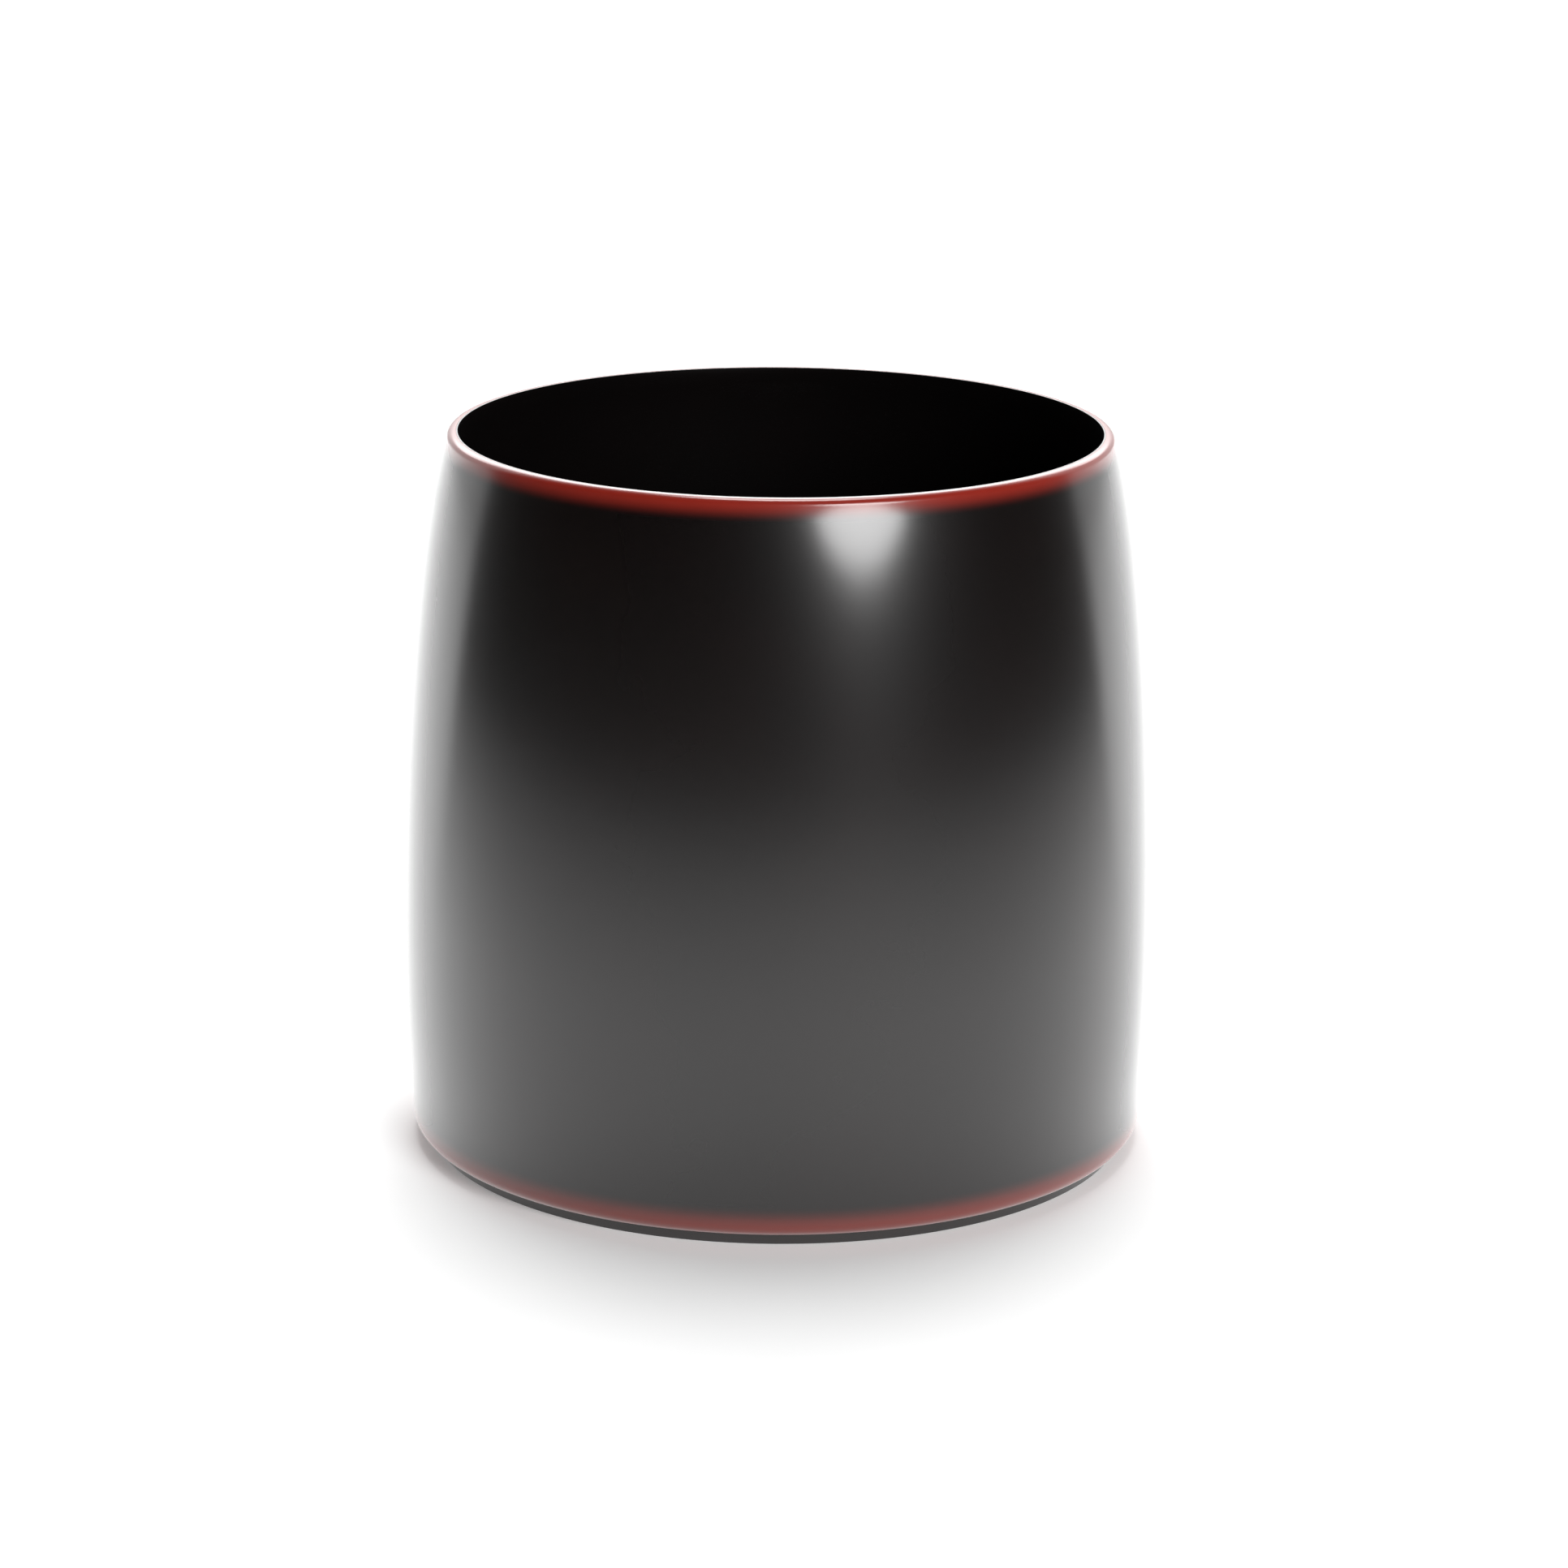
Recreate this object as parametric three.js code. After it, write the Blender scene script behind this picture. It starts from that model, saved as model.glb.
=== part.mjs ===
// A free-standing lacquered wood cup: a turned wood core, cloth at the rim, floor and foot,
// a ground coat, a vermilion undercoat and an amber top coat outside, black lacquer inside and below.
import * as THREE from 'three';

// Overall shape, in millimetres
const bellyRadius = 42;
const cupHeight = 81.2;
const footHeight = 1.3;
const footStep = 0.5;
const footRingWidth = 5;
const footRecess = 1.6;
const bellyHeight = 21.9;
const baseInset = 0.5;
const baseCornerRadius = 1.6;
const lipInset = 5;
const lipLean = THREE.MathUtils.degToRad(16.5);
const lipRounding = 0.8;
const lipThickness = 1.25;
const lipLand = 0.8;

// Wall and floor
const wallThickness = 3;
const floorThickness = 5.5;
const innerCornerRadius = 8;

// Layers
const topcoatThickness = 0.12;
const undercoatThickness = 0.12;
const groundThickness = 0.14;
const blackThickness = 0.14;
const clothThickness = 0.2;
const bondGap = 0.02;

// Cloth
const rimClothDrop = 4;
const rimClothWidth = 9;
const floorClothRadius = 24;
const footClothMargin = 1.5;

// How finely the round shapes are cut
const segments = 40;
const cornerSteps = 2;
const lowerSteps = 2;
const upperSteps = 5;
const lipSteps = 2;

// How full the outline is, as the length of its curve handles
const lipHandle = 12.4;
const bellyHandleUp = 18.5;
const bellyHandleDown = 10;
const baseHandle = 5;

const baseLevel = footHeight;
const baseRadius = bellyRadius - baseInset;
const lipRadius = bellyRadius - lipInset;
const floorLevel = baseLevel + floorThickness;
const innerLipRadius = lipRadius - lipThickness;
const edgeRadius = baseRadius - baseCornerRadius;
const footOuterRadius = edgeRadius - footStep;

// The outside from the base edge up to the lip, as stations with a point and an inward normal
function outerStations() {
  const stations = [];
  for (let i = 0; i <= cornerSteps; i++) {
    const a = (i / cornerSteps) * (Math.PI / 2);
    const normal = new THREE.Vector2(-Math.sin(a), Math.cos(a));
    const centre = new THREE.Vector2(edgeRadius, baseLevel + baseCornerRadius);
    stations.push({ point: centre.addScaledVector(normal, -baseCornerRadius), normal });
  }
  const cornerTop = new THREE.Vector2(baseRadius, baseLevel + baseCornerRadius);
  const belly = new THREE.Vector2(bellyRadius, bellyHeight);
  const lipSide = new THREE.Vector2(lipRadius, cupHeight - lipRounding);
  const lipHandlePoint = new THREE.Vector2(Math.sin(lipLean), -Math.cos(lipLean))
    .multiplyScalar(lipHandle).add(lipSide);
  const lower = new THREE.CubicBezierCurve(
    cornerTop, new THREE.Vector2(baseRadius, cornerTop.y + baseHandle),
    new THREE.Vector2(bellyRadius, belly.y - bellyHandleDown), belly);
  const upper = new THREE.CubicBezierCurve(
    belly, new THREE.Vector2(bellyRadius, belly.y + bellyHandleUp), lipHandlePoint, lipSide);
  for (const [curve, steps] of [[lower, lowerSteps], [upper, upperSteps]]) {
    for (let i = 1; i <= steps; i++) {
      const tangent = curve.getTangentAt(i / steps);
      stations.push({
        point: curve.getPointAt(i / steps),
        normal: new THREE.Vector2(-tangent.y, tangent.x),
      });
    }
  }
  const lipCentre = new THREE.Vector2(lipRadius - lipRounding, cupHeight - lipRounding);
  for (let i = 1; i <= lipSteps; i++) {
    const a = (i / lipSteps) * (Math.PI / 2);
    const normal = new THREE.Vector2(-Math.cos(a), -Math.sin(a));
    stations.push({ point: lipCentre.clone().addScaledVector(normal, -lipRounding), normal });
  }
  return stations;
}

// The inside from the lip's inner edge down to the middle of the floor
function innerStations() {
  const lipEdge = new THREE.Vector2(innerLipRadius, cupHeight);
  const landFoot = new THREE.Vector2(innerLipRadius, cupHeight - lipLand);
  const wallFoot = new THREE.Vector2(baseRadius - wallThickness, floorLevel + innerCornerRadius);
  const wall = new THREE.CubicBezierCurve(
    landFoot,
    new THREE.Vector2(Math.sin(lipLean), -Math.cos(lipLean)).multiplyScalar(lipHandle).add(landFoot),
    new THREE.Vector2(bellyRadius - wallThickness, bellyHeight + bellyHandleUp), wallFoot);
  const stations = [{ point: lipEdge, normal: new THREE.Vector2(1, 0) }];
  for (let i = 0; i <= upperSteps; i++) {
    const tangent = wall.getTangentAt(i / upperSteps);
    stations.push({
      point: wall.getPointAt(i / upperSteps),
      normal: new THREE.Vector2(-tangent.y, tangent.x),
    });
  }
  const centre = new THREE.Vector2(wallFoot.x - innerCornerRadius, wallFoot.y);
  for (let i = 1; i <= cornerSteps; i++) {
    const a = (i / cornerSteps) * (Math.PI / 2);
    const normal = new THREE.Vector2(Math.cos(a), -Math.sin(a));
    stations.push({ point: centre.clone().addScaledVector(normal, innerCornerRadius), normal });
  }
  stations.push({ point: new THREE.Vector2(0, floorLevel), normal: new THREE.Vector2(0, -1) });
  return stations;
}

const outside = outerStations();
const inside = innerStations();
const offset = (station, depth) => station.point.clone().addScaledVector(station.normal, depth);

// The inner edge of the lip is where the outer coats stop and the black one begins
const seamRadius = innerLipRadius + blackThickness + bondGap;

function outerLine(depth) {
  const line = outside.map((station) => offset(station, depth));
  line.push(new THREE.Vector2(seamRadius, cupHeight - depth));
  return line;
}

// The inside's line stops level with what covers the lip
function innerLine(depth, top) {
  const line = inside.map((station) => offset(station, depth));
  line[0].set(innerLipRadius + depth, top);
  line[line.length - 1].x = 0;
  return line;
}

// Turns a profile into a closed solid, whichever way round its points run
function turned(name, profile, material) {
  const onAxis = profile[0].x === 0 && profile[profile.length - 1].x === 0;
  const line = onAxis ? profile : [...profile, profile[0].clone()];
  const area = line.reduce((sum, p, i) => {
    const q = line[(i + 1) % line.length];
    return sum + p.x * q.y - q.x * p.y;
  }, 0);
  const geometry = new THREE.LatheGeometry(area > 0 ? line : line.reverse(), segments);
  geometry.rotateX(Math.PI / 2);
  const mesh = new THREE.Mesh(geometry, material);
  mesh.name = name;
  return mesh;
}

function finish(color, roughness) {
  return new THREE.MeshStandardMaterial({ color, roughness, metalness: 0 });
}

const wood = finish(0xb98d5e, 0.7);
const cloth = finish(0xcdbb95, 0.9);
const ground = finish(0x4a3a30, 0.85);
const vermilion = finish(0x8f2418, 0.35);
const amber = finish(0x1c0f0d, 0.25);
const black = finish(0x0d0b0b, 0.22);

// Depths of the outer layers below the surface
const undercoatDepth = topcoatThickness + bondGap;
const groundDepth = undercoatDepth + undercoatThickness + bondGap;
const woodDepth = groundDepth + groundThickness + bondGap;
const innerGroundDepth = blackThickness + bondGap;
const innerWoodDepth = innerGroundDepth + groundThickness + bondGap;
const woodTop = cupHeight - woodDepth;

function coat(name, depth, thickness, material) {
  return turned(name, [...outerLine(depth), ...outerLine(depth + thickness).reverse()], material);
}

function liner(name, depth, thickness, top, material) {
  return turned(name, [...innerLine(depth, top), ...innerLine(depth + thickness, top).reverse()], material);
}

// The wood has a shallow rebate under the rim for its cloth
const rimClothTop = cupHeight - rimClothDrop;
const rimClothFoot = rimClothTop - rimClothWidth;

// A point at any height on the outside, moved in by a depth
function outsideAt(height, depth) {
  const next = outside.findIndex((station) => station.point.y > height);
  const a = outside[next - 1];
  const b = outside[next];
  const share = (height - a.point.y) / (b.point.y - a.point.y);
  const point = a.point.clone().lerp(b.point, share);
  const normal = b.point.clone().sub(a.point).normalize();
  return point.add(new THREE.Vector2(-normal.y, normal.x).multiplyScalar(depth));
}

const rebateDepth = woodDepth + clothThickness + bondGap;

function rimBand(from, to, depth) {
  const between = outside.filter(({ point }) => point.y > from && point.y < to);
  return [outsideAt(from, depth), ...between.map((station) => offset(station, depth)), outsideAt(to, depth)];
}

const ringInnerRadius = footOuterRadius - footRingWidth;
const footClothRadius = ringInnerRadius - footClothMargin;

// The black skin under the cup, and the wood's underside which follows it
function underside(depth, edge) {
  return [
    new THREE.Vector2(0, footRecess + depth),
    new THREE.Vector2(ringInnerRadius + depth, footRecess + depth),
    new THREE.Vector2(ringInnerRadius + depth, depth),
    new THREE.Vector2(footOuterRadius - depth, depth),
    new THREE.Vector2(footOuterRadius - depth, baseLevel + depth),
    new THREE.Vector2(edge, baseLevel + depth),
  ];
}

function woodCore() {
  const wallFoot = rimClothFoot - bondGap;
  const wallTop = rimClothTop + bondGap;
  const footDepth = blackThickness + bondGap;
  const outer = outside.map((station) => ({ height: station.point.y, at: offset(station, woodDepth) }));
  const below = outer.filter(({ height }) => height < wallFoot).map(({ at }) => at);
  const above = outer.filter(({ height }) => height > wallTop).map(({ at }) => at);
  const clothSeat = footRecess + footDepth + clothThickness + bondGap;
  const bottom = underside(footDepth, edgeRadius - bondGap);
  bottom.splice(0, 1,
    new THREE.Vector2(0, clothSeat),
    new THREE.Vector2(footClothRadius + bondGap, clothSeat),
    new THREE.Vector2(footClothRadius + bondGap, footRecess + footDepth));
  const inner = innerLine(innerWoodDepth, woodTop);
  const floorSeat = floorLevel - innerWoodDepth;
  inner.splice(inner.length - 1, 1,
    new THREE.Vector2(floorClothRadius + bondGap, floorSeat),
    new THREE.Vector2(floorClothRadius + bondGap, floorSeat - clothThickness - bondGap),
    new THREE.Vector2(0, floorSeat - clothThickness - bondGap));
  return turned('wood_core', [
    ...bottom,
    ...below,
    outsideAt(wallFoot, woodDepth), ...rimBand(wallFoot, wallTop, rebateDepth), outsideAt(wallTop, woodDepth),
    ...above,
    ...inner,
  ], wood);
}

function clothDisc(name, radius, bottom) {
  return turned(name, [
    new THREE.Vector2(0, bottom),
    new THREE.Vector2(radius, bottom),
    new THREE.Vector2(radius, bottom + clothThickness),
    new THREE.Vector2(0, bottom + clothThickness),
  ], cloth);
}

const cup = new THREE.Group();
cup.add(
  woodCore(),
  turned('rim_cloth', [
    ...rimBand(rimClothFoot, rimClothTop, woodDepth),
    ...rimBand(rimClothFoot, rimClothTop, woodDepth + clothThickness).reverse(),
  ], cloth),
  clothDisc('floor_cloth', floorClothRadius, floorLevel - innerWoodDepth - clothThickness),
  clothDisc('foot_cloth', footClothRadius, footRecess + blackThickness + bondGap),
  coat('outer_ground_coat', groundDepth, groundThickness, ground),
  liner('inner_ground_coat', innerGroundDepth, groundThickness, woodTop, ground),
  coat('vermilion_undercoat', undercoatDepth, undercoatThickness, vermilion),
  coat('amber_topcoat', 0, topcoatThickness, amber),
  liner('inner_black_coat', 0, blackThickness, cupHeight, black),
  turned('foot_black_coat', [
    ...underside(0, edgeRadius - bondGap), ...underside(blackThickness, edgeRadius - bondGap).reverse(),
  ], black),
);

export default cup;
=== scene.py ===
# Lacquer cup: a turned wood cup with cloth, ground and urushi coats, one smooth spun piece for each layer
import math
import bmesh
import bpy
from mathutils import Matrix, Vector


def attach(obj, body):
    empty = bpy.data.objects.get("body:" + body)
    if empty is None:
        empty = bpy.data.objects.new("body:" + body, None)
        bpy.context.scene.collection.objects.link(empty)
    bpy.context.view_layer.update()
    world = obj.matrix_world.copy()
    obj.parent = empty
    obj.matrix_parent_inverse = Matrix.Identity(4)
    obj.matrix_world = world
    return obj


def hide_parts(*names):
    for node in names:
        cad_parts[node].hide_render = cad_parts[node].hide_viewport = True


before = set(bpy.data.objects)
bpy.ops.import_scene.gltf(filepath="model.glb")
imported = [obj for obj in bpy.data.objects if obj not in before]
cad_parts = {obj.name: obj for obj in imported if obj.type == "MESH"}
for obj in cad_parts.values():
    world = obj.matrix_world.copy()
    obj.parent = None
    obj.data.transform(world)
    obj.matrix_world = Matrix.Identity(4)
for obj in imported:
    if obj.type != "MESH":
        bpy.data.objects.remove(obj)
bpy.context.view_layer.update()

mm = 0.001
colourA, colourB, colourOut = 6, 7, 2  # the colour sockets of a Mix node


def toLinear(hexColour):
    channels = [int(hexColour[i:i + 2], 16) / 255 for i in (1, 3, 5)]
    return tuple(c / 12.92 if c <= 0.04045 else ((c + 0.055) / 1.055) ** 2.4 for c in channels) + (1,)


def addNode(tree, kind, settings=None, links=None):
    # a setting is a socket by name or number, or else one of the node's own properties
    node = tree.nodes.new(kind)
    for key, value in (settings or {}).items():
        if isinstance(key, int) or key in node.inputs:
            node.inputs[key].default_value = value
        else:
            setattr(node, key, value)
    for key, socket in (links or {}).items():
        tree.links.new(socket, node.inputs[key])
    return node


def newMaterial(name):
    material = bpy.data.materials.new(name)
    material.use_nodes = True
    material.node_tree.nodes.clear()
    return material, material.node_tree


# Outline of the cup, in mm: the same shape as the frame's, cut finer
cup = {
    "belly": 42, "height": 81.2, "foot": 1.3, "footRadius": 39.4, "ringWidth": 5, "recess": 1.6,
    "bellyHeight": 21.9, "base": 41.5, "corner": 1.6, "lip": 37, "lean": math.radians(16.5),
    "rounding": 0.8, "lipThickness": 1.25, "land": 0.8, "wall": 3, "floor": 5.5, "innerCorner": 8,
    "lipHandle": 12.4, "upHandle": 18.5, "downHandle": 10, "baseHandle": 5,
    "topcoat": 0.12, "undercoat": 0.12, "ground": 0.14, "black": 0.14, "cloth": 0.2, "bond": 0.02,
    "rimClothDrop": 4, "rimClothWidth": 9, "floorCloth": 24, "footClothMargin": 1.5,
    "cornerSteps": 8, "wallSteps": 28, "turnSteps": 192, "creaseAngle": math.radians(35), "weld": 0.0001,
}


def bezier(p0, p1, p2, p3, t):
    s = 1 - t
    point = p0 * s ** 3 + p1 * (3 * s * s * t) + p2 * (3 * s * t * t) + p3 * t ** 3
    slope = (p1 - p0) * (3 * s * s) + (p2 - p1) * (6 * s * t) + (p3 - p2) * (3 * t * t)
    slope.normalize()
    return point, Vector((-slope.y, slope.x))


edge = cup["base"] - cup["corner"]
cornerTop = cup["foot"] + cup["corner"]
leanDown = Vector((math.sin(cup["lean"]), -math.cos(cup["lean"]))) * cup["lipHandle"]


def outsideLine():
    stations = []
    centre = Vector((edge, cornerTop))
    for i in range(cup["cornerSteps"] + 1):
        a = i / cup["cornerSteps"] * math.pi / 2
        normal = Vector((-math.sin(a), math.cos(a)))
        stations.append((centre - normal * cup["corner"], normal))
    belly = Vector((cup["belly"], cup["bellyHeight"]))
    lipSide = Vector((cup["lip"], cup["height"] - cup["rounding"]))
    lower = (Vector((cup["base"], cornerTop)), Vector((cup["base"], cornerTop + cup["baseHandle"])),
             belly - Vector((0, cup["downHandle"])), belly)
    upper = (belly, belly + Vector((0, cup["upHandle"])), lipSide + leanDown, lipSide)
    for curve, steps in ((lower, cup["cornerSteps"]), (upper, cup["wallSteps"])):
        stations += [bezier(*curve, i / steps) for i in range(1, steps + 1)]
    centre = lipSide - Vector((cup["rounding"], 0))
    for i in range(1, cup["cornerSteps"] + 1):
        a = i / cup["cornerSteps"] * math.pi / 2
        normal = Vector((-math.cos(a), -math.sin(a)))
        stations.append((centre - normal * cup["rounding"], normal))
    return stations


def insideLine():
    lipEdge = Vector((cup["lip"] - cup["lipThickness"], cup["height"]))
    landFoot = lipEdge - Vector((0, cup["land"]))
    wallFoot = Vector((cup["base"] - cup["wall"], cup["foot"] + cup["floor"] + cup["innerCorner"]))
    wall = (landFoot, landFoot + leanDown,
            Vector((cup["belly"] - cup["wall"], cup["bellyHeight"] + cup["upHandle"])), wallFoot)
    stations = [(lipEdge, Vector((1, 0)))]
    stations += [bezier(*wall, i / cup["wallSteps"]) for i in range(cup["wallSteps"] + 1)]
    centre = wallFoot - Vector((cup["innerCorner"], 0))
    for i in range(1, cup["cornerSteps"] + 1):
        a = i / cup["cornerSteps"] * math.pi / 2
        normal = Vector((math.cos(a), -math.sin(a)))
        stations.append((centre + normal * cup["innerCorner"], normal))
    stations.append((Vector((0, cup["foot"] + cup["floor"])), Vector((0, -1))))
    return stations


outside = outsideLine()
inside = insideLine()
lipInner = cup["lip"] - cup["lipThickness"]
seam = lipInner + cup["black"] + cup["bond"]


def outerAt(depth):
    return [p + n * depth for p, n in outside] + [Vector((seam, cup["height"] - depth))]


def innerAt(depth, top):
    line = [p + n * depth for p, n in inside]
    line[0] = Vector((lipInner + depth, top))
    line[-1].x = 0
    return line


def spun(name, outline, material, node):
    mesh = bmesh.new()
    ring = [mesh.verts.new((p.x * mm, 0, p.y * mm)) for p in outline]
    closed = outline[0].x > 0
    pairs = list(zip(ring, ring[1:])) + ([(ring[-1], ring[0])] if closed else [])
    edges = [mesh.edges.new(pair) for pair in pairs]
    bmesh.ops.spin(mesh, geom=ring + edges, axis=(0, 0, 1), cent=(0, 0, 0), angle=math.tau,
                   steps=cup["turnSteps"], use_merge=True)
    bmesh.ops.remove_doubles(mesh, verts=mesh.verts, dist=cup["weld"] * mm)
    bmesh.ops.recalc_face_normals(mesh, faces=mesh.faces)
    for face in mesh.faces:
        face.smooth = True
    for crease in mesh.edges:
        if len(crease.link_faces) == 2 and crease.calc_face_angle() > cup["creaseAngle"]:
            crease.smooth = False
    data = bpy.data.meshes.new(name)
    mesh.to_mesh(data)
    mesh.free()
    piece = bpy.data.objects.new(name, data)
    bpy.context.collection.objects.link(piece)
    data.materials.append(material)
    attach(piece, "root")
    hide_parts(node)


# Urushi, brushed thin and dried in a damp cabinet: a deep satin gloss, faintly wavy, with a few dust nibs
lacquer = {
    "ior": 1.52, "coatRoughness": 0.19, "underGloss": 0.14, "mottleMm": 14, "mottleDetail": 4.0,
    "waveMm": 9, "waveDetail": 2.0, "waveHeight": 0.05, "waveStrength": 0.25,
    "nibMm": 11, "nibShare": 0.03, "nibHeight": 0.05, "nibStrength": 0.3,
}


def urushi(name, finish, fades=()):
    material, tree = newMaterial(name)
    place = addNode(tree, "ShaderNodeTexCoord").outputs["Object"]
    height = addNode(tree, "ShaderNodeSeparateXYZ", links={"Vector": place}).outputs["Z"]
    mottle = addNode(tree, "ShaderNodeTexNoise", {
        "Scale": 1 / (lacquer["mottleMm"] * mm), "Detail": lacquer["mottleDetail"]},
        {"Vector": place})
    tone = addNode(tree, "ShaderNodeMix", {
        "data_type": "RGBA", colourA: toLinear(finish["deep"]), colourB: toLinear(finish["warm"])},
        {"Factor": mottle.outputs["Fac"]})
    colour = tone.outputs[colourOut]
    for red, start, end in fades:
        fade = addNode(tree, "ShaderNodeMapRange", {
            "interpolation_type": "SMOOTHERSTEP", "From Min": start * mm, "From Max": end * mm},
            {"Value": height})
        blend = addNode(tree, "ShaderNodeMix", {"data_type": "RGBA", colourB: toLinear(red)},
                        {"Factor": fade.outputs["Result"], colourA: colour})
        colour = blend.outputs[colourOut]
    wave = addNode(tree, "ShaderNodeTexNoise", {
        "Scale": 1 / (lacquer["waveMm"] * mm), "Detail": lacquer["waveDetail"]},
        {"Vector": place})
    cells = addNode(tree, "ShaderNodeTexVoronoi", {"Scale": 1 / (lacquer["nibMm"] * mm)}, {"Vector": place})
    nib = addNode(tree, "ShaderNodeMapRange", {"From Min": lacquer["nibShare"], "From Max": 0.0},
                  {"Value": cells.outputs["Distance"]})
    soft = addNode(tree, "ShaderNodeBump", {
        "Strength": lacquer["waveStrength"], "Distance": lacquer["waveHeight"] * mm},
        {"Height": wave.outputs["Fac"]})
    bump = addNode(tree, "ShaderNodeBump", {
        "Strength": lacquer["nibStrength"], "Distance": lacquer["nibHeight"] * mm},
        {"Height": nib.outputs["Result"], "Normal": soft.outputs["Normal"]})
    shader = addNode(tree, "ShaderNodeBsdfPrincipled", {
        "Roughness": finish["roughness"], "IOR": lacquer["ior"],
        "Specular IOR Level": lacquer["underGloss"], "Coat Weight": 1.0,
        "Coat IOR": lacquer["ior"], "Coat Roughness": lacquer["coatRoughness"]},
        {"Base Color": colour, "Normal": bump.outputs["Normal"], "Coat Normal": soft.outputs["Normal"]})
    addNode(tree, "ShaderNodeOutputMaterial", links={"Surface": shader.outputs["BSDF"]})
    return material


# The layers that the coats hide have no gloss: one noise draws their grain, fibre or grit
relief = {"detail": 6.0, "height": 0.05, "strength": 0.3}


def roughStuff(name, stuff):
    material, tree = newMaterial(name)
    place = addNode(tree, "ShaderNodeTexCoord").outputs["Object"]
    along = addNode(tree, "ShaderNodeMapping", {"Scale": stuff["stretch"]}, {"Vector": place})
    grain = addNode(tree, "ShaderNodeTexNoise", {
        "Scale": 1 / (stuff["grainMm"] * mm), "Detail": relief["detail"]},
        {"Vector": along.outputs["Vector"]})
    tone = addNode(tree, "ShaderNodeMix", {
        "data_type": "RGBA", colourA: toLinear(stuff["dark"]), colourB: toLinear(stuff["light"])},
        {"Factor": grain.outputs["Fac"]})
    bump = addNode(tree, "ShaderNodeBump", {
        "Strength": relief["strength"], "Distance": relief["height"] * mm},
        {"Height": grain.outputs["Fac"]})
    shader = addNode(tree, "ShaderNodeBsdfPrincipled", {"Roughness": stuff["roughness"]},
                     {"Base Color": tone.outputs[colourOut], "Normal": bump.outputs["Normal"]})
    addNode(tree, "ShaderNodeOutputMaterial", links={"Surface": shader.outputs["BSDF"]})
    return material


# Amber urushi brushed over vermilion: near black where it lies thick, and glowing red where it has
# pulled thin, over the lip and the base edge
amber = {
    "deep": "#070606", "warm": "#110908", "roughness": 0.42,
    "lipRed": "#862217", "lipFrom": 2.5, "lipTo": 0.2, "baseRed": "#7d3029", "baseFrom": 3.8, "baseTo": 0.5,
}
amberFades = (
    (amber["lipRed"], cup["height"] - amber["lipFrom"], cup["height"] - amber["lipTo"]),
    (amber["baseRed"], cup["foot"] + amber["baseFrom"], cup["foot"] + amber["baseTo"]),
)
amberUrushi = urushi("amberUrushiOverVermilion", amber, amberFades)

# Vermilion urushi, tinted with cinnabar: a strong warm red, hidden under the amber
vermilion = {"deep": "#8a2016", "warm": "#a02c1e", "roughness": 0.42}
vermilionUrushi = urushi("vermilionUrushi", vermilion)

# Black urushi, brushed on and left unpolished: a wet, deep black inside the cup
black = {"deep": "#090808", "warm": "#0f0b0b", "roughness": 0.22}
blackUrushi = urushi("blackUrushi", black)

# The same black rubbed by every table it has stood on: a shade greyer and duller
footBlack = {"deep": "#141111", "warm": "#1c1716", "roughness": 0.34}
footUrushi = urushi("footUrushi", footBlack)

# Zelkova turned on a lathe: warm brown and dull, with long pale streaks up the wall
zelkova = {"dark": "#8a5c34", "light": "#c39561", "grainMm": 2.5, "stretch": (1, 1, 0.12), "roughness": 0.6}
turnedWood = roughStuff("turnedZelkova", zelkova)

# Hemp cloth pasted down with lacquer: pale straw, dry and fibrous
hemp = {"dark": "#b09a72", "light": "#d8c8a2", "grainMm": 0.8, "stretch": (1, 1, 1), "roughness": 0.9}
hempCloth = roughStuff("hempCloth", hemp)

# Clay powder in raw lacquer, rubbed flat with a stone: dark brown and matt, with a fine grit
clay = {"dark": "#3a2d26", "light": "#57483e", "grainMm": 0.5, "stretch": (1, 1, 1), "roughness": 0.85}
groundCoat = roughStuff("clayGround", clay)

undercoatDepth = cup["topcoat"] + cup["bond"]
groundDepth = undercoatDepth + cup["undercoat"] + cup["bond"]
woodDepth = groundDepth + cup["ground"] + cup["bond"]
innerGroundDepth = cup["black"] + cup["bond"]
innerWoodDepth = innerGroundDepth + cup["ground"] + cup["bond"]
woodTop = cup["height"] - woodDepth


def coat(name, depth, thickness, material, node):
    spun(name, outerAt(depth) + outerAt(depth + thickness)[::-1], material, node)


def liner(name, depth, thickness, top, material, node):
    spun(name, innerAt(depth, top) + innerAt(depth + thickness, top)[::-1], material, node)


coat("amberCoat", 0, cup["topcoat"], amberUrushi, "amber_topcoat")
coat("vermilionCoat", undercoatDepth, cup["undercoat"], vermilionUrushi,
     "vermilion_undercoat")
coat("outerGround", groundDepth, cup["ground"], groundCoat, "outer_ground_coat")
liner("innerBlackCoat", 0, cup["black"], cup["height"], blackUrushi, "inner_black_coat")
liner("innerGround", innerGroundDepth, cup["ground"], woodTop, groundCoat,
      "inner_ground_coat")
print("coats spun")

ringInner = cup["footRadius"] - cup["ringWidth"]


def underside(depth, rim):
    return [Vector(p) for p in (
        (0, cup["recess"] + depth), (ringInner + depth, cup["recess"] + depth), (ringInner + depth, depth),
        (cup["footRadius"] - depth, depth), (cup["footRadius"] - depth, cup["foot"] + depth),
        (rim, cup["foot"] + depth))]


rimEdge = edge - cup["bond"]
spun("footCoat", underside(0, rimEdge) + underside(cup["black"], rimEdge)[::-1], footUrushi,
     "foot_black_coat")

clothTop = cup["height"] - cup["rimClothDrop"]
clothFoot = clothTop - cup["rimClothWidth"]
footDepth = cup["black"] + cup["bond"]
footCloth = ringInner - cup["footClothMargin"]
floorSeat = cup["foot"] + cup["floor"] - innerWoodDepth


def band(low, high, depth):
    return [p + n * depth for p, n in outside if low <= p.y <= high]


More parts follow.
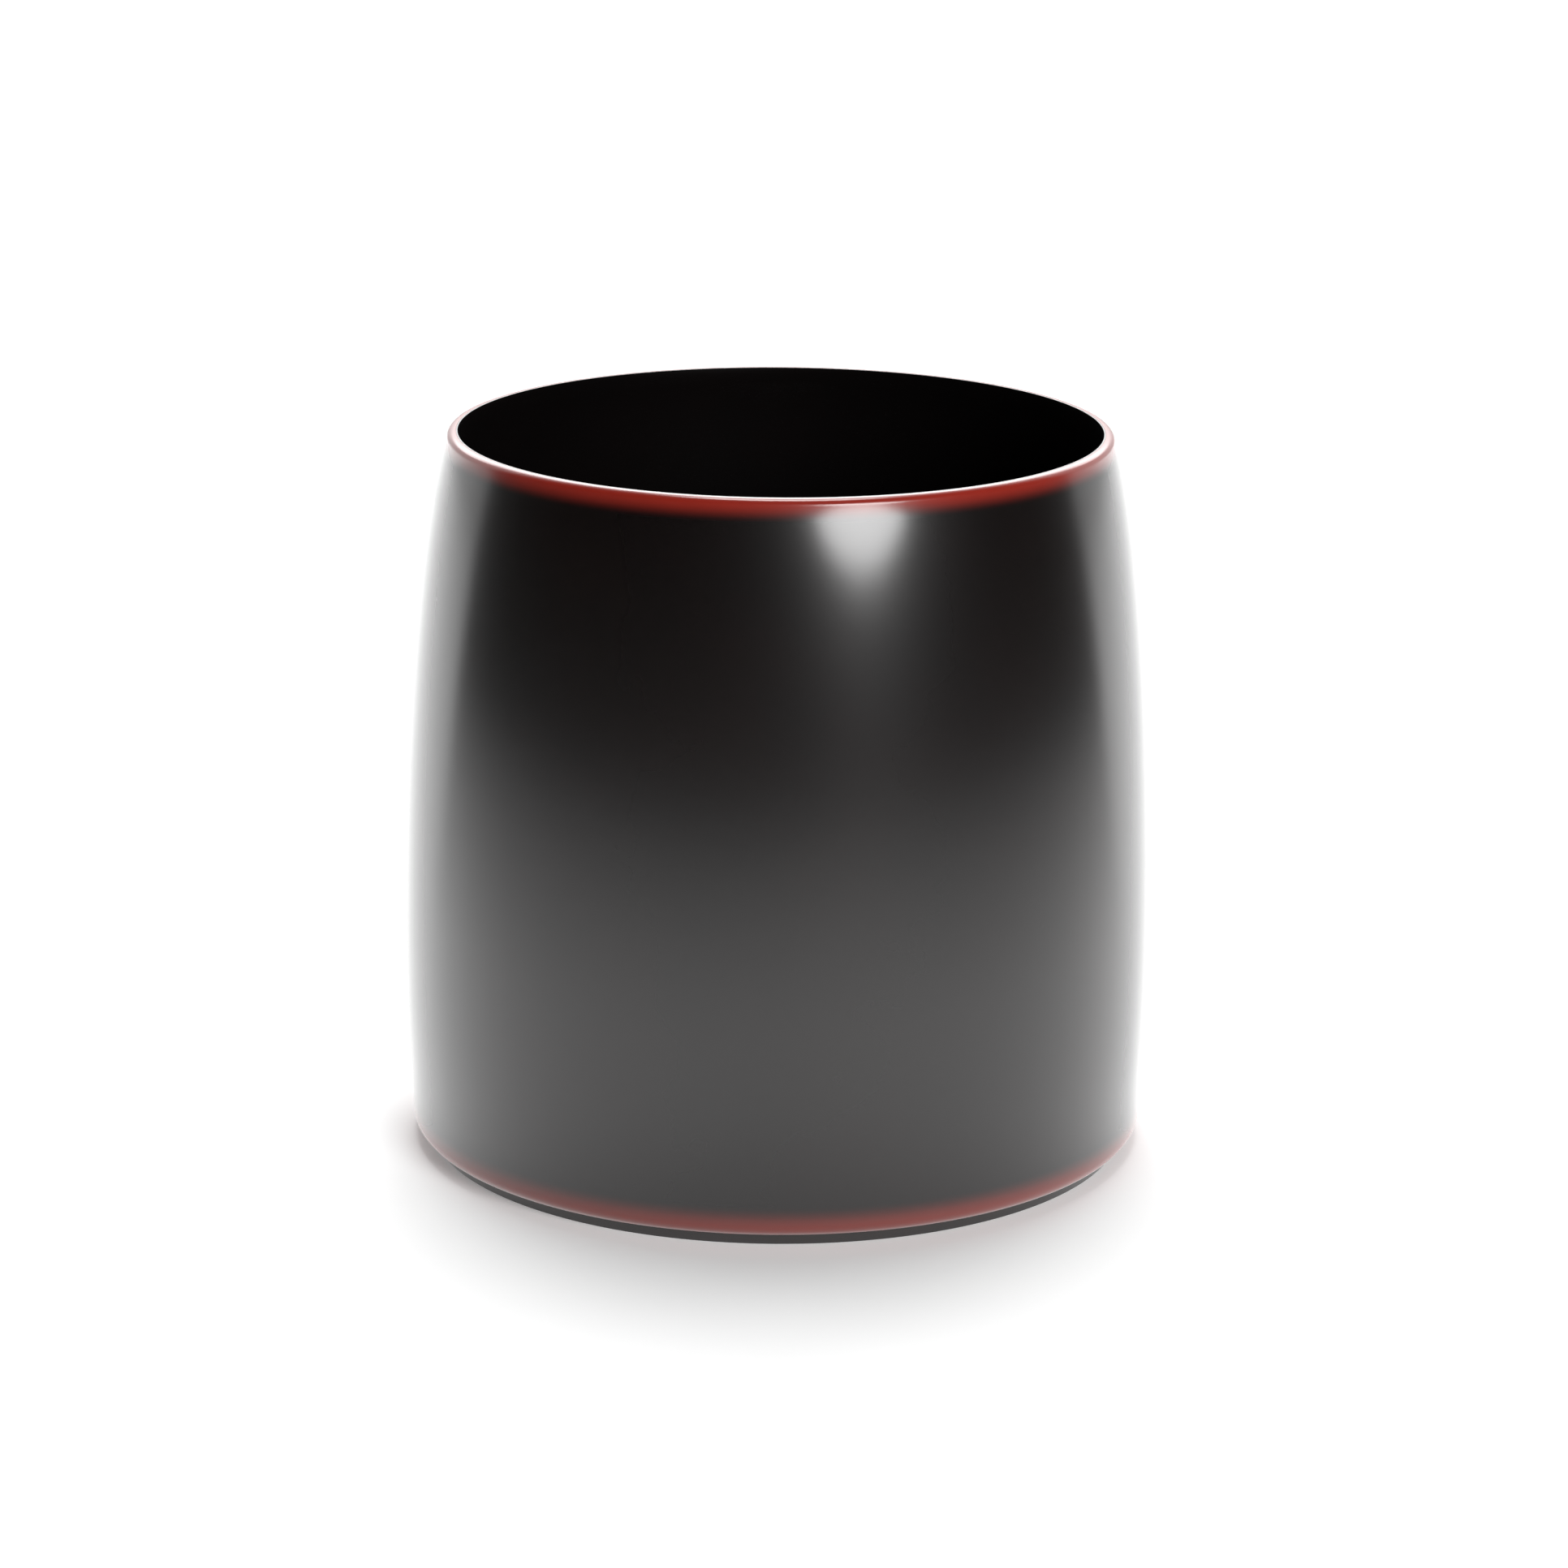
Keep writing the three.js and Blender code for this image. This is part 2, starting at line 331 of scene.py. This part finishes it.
def woodOutline():
    rebate = woodDepth + cup["cloth"] + cup["bond"]
    under = underside(footDepth, rimEdge)[1:]
    seat = cup["recess"] + footDepth + cup["cloth"] + cup["bond"]
    start = [Vector(p) for p in ((0, seat), (footCloth + cup["bond"], seat),
                                 (footCloth + cup["bond"], cup["recess"] + footDepth))]
    below = [p + n * woodDepth for p, n in outside if p.y <= clothFoot]
    above = [p + n * woodDepth for p, n in outside if p.y >= clothTop]
    inner = innerAt(innerWoodDepth, woodTop)[:-1]
    drop = cup["cloth"] + cup["bond"]
    end = [Vector(p) for p in ((cup["floorCloth"] + cup["bond"], floorSeat),
                               (cup["floorCloth"] + cup["bond"], floorSeat - drop), (0, floorSeat - drop))]
    return start + under + below + band(clothFoot, clothTop, rebate) + above + inner + end


spun("woodCore", woodOutline(), turnedWood, "wood_core")
rimOutline = band(clothFoot, clothTop, woodDepth)
rimOutline += band(clothFoot, clothTop, woodDepth + cup["cloth"])[::-1]
spun("rimCloth", rimOutline, hempCloth, "rim_cloth")


def disc(name, radius, bottom, node):
    top = bottom + cup["cloth"]
    outline = [Vector(p) for p in ((0, bottom), (radius, bottom), (radius, top), (0, top))]
    spun(name, outline, hempCloth, node)


disc("floorCloth", cup["floorCloth"], floorSeat - cup["cloth"], "floor_cloth")
disc("footCloth", footCloth, cup["recess"] + footDepth, "foot_cloth")
print("wood and cloth spun")

# Floor, in metres: a white table. In the lacquer's reflections it turns dark some 25 cm from the cup,
# except behind it
table = {
    "size": 8, "below": 0.00002, "colour": "#f2f2f2", "glow": 0.22, "mirrorGlow": 0.6, "dim": "#161616",
    "edge": 0.25, "fade": 0.13, "openBehind": 0.41, "openSoft": 0.04,
}


def makeFloor():
    material, tree = newMaterial("whiteTable")
    rays = addNode(tree, "ShaderNodeLightPath")
    coordinates = addNode(tree, "ShaderNodeTexCoord")
    split = addNode(tree, "ShaderNodeSeparateXYZ", links={"Vector": coordinates.outputs["Object"]})
    far = addNode(tree, "ShaderNodeVectorMath", {"operation": "LENGTH"}, {0: coordinates.outputs["Object"]})
    beyond = addNode(tree, "ShaderNodeMapRange", {
        "From Min": table["edge"] - table["fade"], "From Max": table["edge"] + table["fade"]},
        {"Value": far.outputs["Value"]})
    turnTo = addNode(tree, "ShaderNodeMath", {"operation": "DIVIDE"},
                     {0: split.outputs["Y"], 1: far.outputs["Value"]})
    ahead = addNode(tree, "ShaderNodeMapRange", {
        "From Min": table["openBehind"] + table["openSoft"],
        "From Max": table["openBehind"] - table["openSoft"]},
        {"Value": turnTo.outputs["Value"]})
    away = addNode(tree, "ShaderNodeMath", {"operation": "MULTIPLY"},
                   {0: beyond.outputs["Result"], 1: ahead.outputs["Result"]})
    hidden = addNode(tree, "ShaderNodeMath", {"operation": "MULTIPLY"},
                     {0: away.outputs["Value"], 1: rays.outputs["Is Glossy Ray"]})
    paint = addNode(tree, "ShaderNodeBsdfDiffuse", {"Color": toLinear(table["colour"])})
    glow = addNode(tree, "ShaderNodeEmission", {"Color": toLinear("#ffffff")})
    mirrored = addNode(tree, "ShaderNodeMath", {"operation": "MULTIPLY", 1: table["mirrorGlow"]},
                       {0: rays.outputs["Is Glossy Ray"]})
    glowLevel = addNode(tree, "ShaderNodeMath", {"operation": "MULTIPLY_ADD", 1: table["glow"]},
                        {0: rays.outputs["Is Camera Ray"], 2: mirrored.outputs["Value"]})
    tree.links.new(glowLevel.outputs["Value"], glow.inputs["Strength"])
    lit = addNode(tree, "ShaderNodeAddShader", links={
        0: paint.outputs["BSDF"], 1: glow.outputs["Emission"]})
    dark = addNode(tree, "ShaderNodeEmission", {"Color": toLinear(table["dim"])})
    mixed = addNode(tree, "ShaderNodeMixShader", links={
        "Fac": hidden.outputs["Value"], 1: lit.outputs["Shader"], 2: dark.outputs["Emission"]})
    addNode(tree, "ShaderNodeOutputMaterial", links={"Surface": mixed.outputs["Shader"]})
    grid = bmesh.new()
    bmesh.ops.create_grid(grid, x_segments=1, y_segments=1, size=table["size"] / 2)
    data = bpy.data.meshes.new("table")
    grid.to_mesh(data)
    grid.free()
    data.materials.append(material)
    for corner in data.vertices:
        corner.co.z = -table["below"]
    floor = bpy.data.objects.new("table", data)
    bpy.context.collection.objects.link(floor)


makeFloor()

# World: white to the camera. In reflections it is white behind the cup only, so the wall's middle is dark
room = {"white": "#ffffff", "dim": "#161616", "edge": 0.41, "soft": 0.04, "strength": 1.0}


def makeWorld():
    world = bpy.data.worlds.new("studio")
    world.use_nodes = True
    tree = world.node_tree
    tree.nodes.clear()
    rays = addNode(tree, "ShaderNodeLightPath")
    direction = addNode(tree, "ShaderNodeTexCoord")
    split = addNode(tree, "ShaderNodeSeparateXYZ", links={"Vector": direction.outputs["Generated"]})
    behind = addNode(tree, "ShaderNodeMapRange", {
        "From Min": room["edge"] - room["soft"], "From Max": room["edge"] + room["soft"]},
        {"Value": split.outputs["Y"]})
    seen = addNode(tree, "ShaderNodeMath", {"operation": "MAXIMUM"},
                   {0: behind.outputs["Result"], 1: rays.outputs["Is Camera Ray"]})
    tone = addNode(tree, "ShaderNodeMix",
                   {"data_type": "RGBA", colourA: toLinear(room["dim"]), colourB: toLinear(room["white"])},
                   {"Factor": seen.outputs["Value"]})
    light = addNode(tree, "ShaderNodeBackground", {"Strength": room["strength"]},
                    {"Color": tone.outputs[colourOut]})
    addNode(tree, "ShaderNodeOutputWorld", links={"Surface": light.outputs["Background"]})
    bpy.context.scene.world = world


makeWorld()

# Lamps, in metres: soft boxes over and behind the cup, and a window in front of it
lampAim = 0.04  # the height that they face
lamps = [
    {"name": "overheadBox", "azimuth": 180, "elevation": 76, "far": 1.3, "size": (0.65, 0.6), "watts": 10},
    {"name": "backBox", "azimuth": 180, "elevation": 32, "far": 1.2, "size": (1.6, 0.7), "watts": 9},
    {"name": "frontWindow", "azimuth": 27, "elevation": 20, "far": 1.0, "size": (0.5, 0.42), "watts": 8},
]


def makeLamps():
    for lamp in lamps:
        data = bpy.data.lights.new(lamp["name"], "AREA")
        data.shape = "ELLIPSE"
        data.size, data.size_y = lamp["size"]
        data.energy = lamp["watts"]
        holder = bpy.data.objects.new(lamp["name"], data)
        a, e = math.radians(lamp["azimuth"]), math.radians(lamp["elevation"])
        away = Vector((math.sin(a) * math.cos(e), -math.cos(a) * math.cos(e), math.sin(e)))
        holder.location = Vector((0, 0, lampAim)) + away * lamp["far"]
        holder.rotation_euler = away.to_track_quat("Z", "Y").to_euler()
        bpy.context.collection.objects.link(holder)


makeLamps()

# Camera, in mm and degrees, worked out from the photo's rim ellipse, base edge and outline
view = {"far": 567.7, "elevation": 15.50, "target": 41.24, "lens": 115.5,
        "pan": -0.065, "tilt": -0.087, "roll": -0.427}


def makeCamera():
    data = bpy.data.cameras.new("camera")
    data.sensor_width = 36
    data.lens = view["lens"]
    camera = bpy.data.objects.new("camera", data)
    e = math.radians(view["elevation"])
    right = Vector((1, 0, 0))
    forward = Vector((0, math.cos(e), -math.sin(e)))
    up = right.cross(forward)
    axes = [right, up, -forward]
    for index, angle in ((1, view["pan"]), (0, view["tilt"]), (2, -view["roll"])):
        turn = Matrix.Rotation(math.radians(angle), 3, axes[index])
        axes = [turn @ axis for axis in axes]
    place = Vector((0, -view["far"] * math.cos(e), view["target"] + view["far"] * math.sin(e))) * mm
    camera.matrix_world = Matrix.Translation(place) @ Matrix(axes).transposed().to_4x4()
    bpy.context.collection.objects.link(camera)
    bpy.context.scene.camera = camera


makeCamera()
bpy.context.scene.view_settings.view_transform = "Standard"
print("light and camera set")
